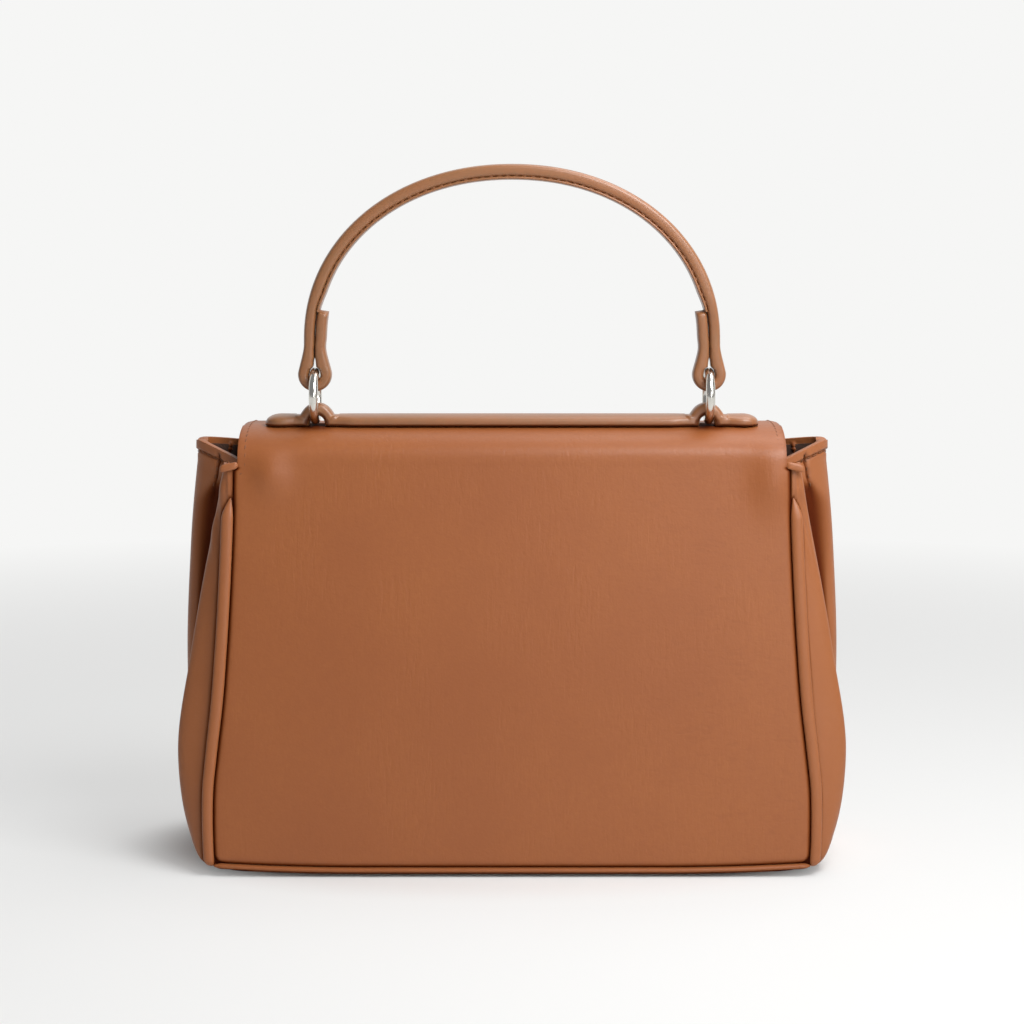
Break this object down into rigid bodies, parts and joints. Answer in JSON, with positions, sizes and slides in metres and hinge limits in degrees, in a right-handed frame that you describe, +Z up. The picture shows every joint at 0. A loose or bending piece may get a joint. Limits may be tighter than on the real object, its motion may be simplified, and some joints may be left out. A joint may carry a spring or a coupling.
{
  "type": "top-handle flap bag",
  "caption": "structured leather top-handle bag with a fold-over flap, pleated side gussets and a ring-mounted arched handle",
  "frame": {"origin": "middle of the underside, on the surface that the bag stands on", "axes": "+Z up, +X to the right of someone who faces the bag's back, the back faces -Y and the flap closes on the +Y side"},
  "size_m": [0.2742, 0.1058, 0.2872],
  "materials": {
    "tan_leather": "smooth calf leather with a fine grain and a soft sheen",
    "tan_leather_edge": "the same leather rolled over a cord and pressed",
    "brown_lining": "matt woven lining cloth",
    "reinforcement_board": "pressed leather-fibre board",
    "cotton_filler": "packed cotton cord",
    "polished_nickel": "polished nickel plate"
  },
  "bodies": {
    "bag_body": {"back_panel": "tan_leather", "front_panel": "tan_leather", "back_board": "reinforcement_board", "front_board": "reinforcement_board", "base_panel": "tan_leather", "base_board": "reinforcement_board", "base_welt_back": "tan_leather_edge", "base_welt_front": "tan_leather_edge", "side_welt_back_left": "tan_leather_edge", "side_welt_back_right": "tan_leather_edge", "side_welt_front_left": "tan_leather_edge", "side_welt_front_right": "tan_leather_edge", "gusset_left": "tan_leather", "gusset_right": "tan_leather", "lining_bag": "brown_lining", "slip_pocket": "brown_lining", "snap_socket": "polished_nickel", "snap_socket_washer": "polished_nickel"},
    "flap_crown": {"flap_crown": "tan_leather", "flap_crown_board": "reinforcement_board", "flap_crown_lining": "brown_lining", "base_strap": "tan_leather"},
    "flap_drop": {"flap_drop": "tan_leather", "flap_drop_board": "reinforcement_board", "flap_drop_lining": "brown_lining", "snap_stud": "polished_nickel", "snap_stud_washer": "polished_nickel"},
    "ring_left": {"ring_left": "polished_nickel"},
    "ring_right": {"ring_right": "polished_nickel"},
    "handle": {"handle_strap": "tan_leather", "handle_core": "cotton_filler", "handle_lining": "tan_leather"}
  },
  "joints": [
    {"name": "flap_lift", "type": "hinge", "parent": "bag_body", "child": "flap_crown", "pos_m": [0, -0.0305, 0.16515], "axis": [1, 0, 0], "range_deg": [0, 110]},
    {"name": "flap_front_fold", "type": "hinge", "parent": "flap_crown", "child": "flap_drop", "pos_m": [0, 0.03756, 0.16515], "axis": [1, 0, 0], "range_deg": [0, 100]},
    {"name": "ring_left_spin", "type": "hinge", "parent": "flap_crown", "child": "ring_left", "pos_m": [-0.0814, -0.009, 0.19218], "axis": [1, 0, 0], "continuous": true},
    {"name": "ring_right_spin", "type": "hinge", "parent": "flap_crown", "child": "ring_right", "pos_m": [0.0814, -0.009, 0.19218], "axis": [1, 0, 0], "continuous": true},
    {"name": "handle_tilt", "type": "hinge", "parent": "flap_crown", "child": "handle", "pos_m": [0, -0.009, 0.19218], "axis": [1, 0, 0], "range_deg": [-75, 75]}
  ]
}
